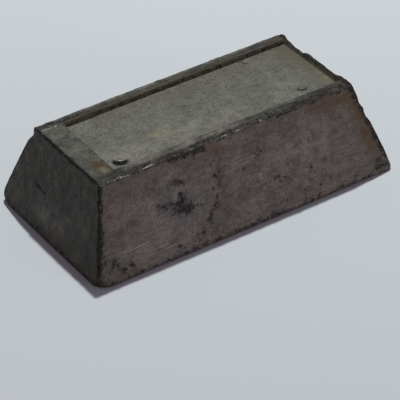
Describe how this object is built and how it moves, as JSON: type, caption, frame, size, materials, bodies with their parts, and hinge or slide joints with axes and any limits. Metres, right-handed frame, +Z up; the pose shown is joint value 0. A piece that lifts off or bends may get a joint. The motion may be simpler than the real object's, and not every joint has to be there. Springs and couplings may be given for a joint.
{
  "type": "metal ingot",
  "caption": "Cast lead-alloy ingot: a long block with leaning sides and ends, round lower corners and a shallow sunk panel in its upper face.",
  "frame": {"origin": "centre of the underside, on the floor", "axes": "+X along the length towards the end with the thin rim, +Y across towards the rear, +Z up"},
  "size_m": [0.1264, 0.069, 0.0342],
  "materials": {
    "ingot": "dull grey lead oxide with dark stains and brown rust tints"
  },
  "bodies": {
    "root": {"ingot": "ingot"}
  },
  "joints": []
}
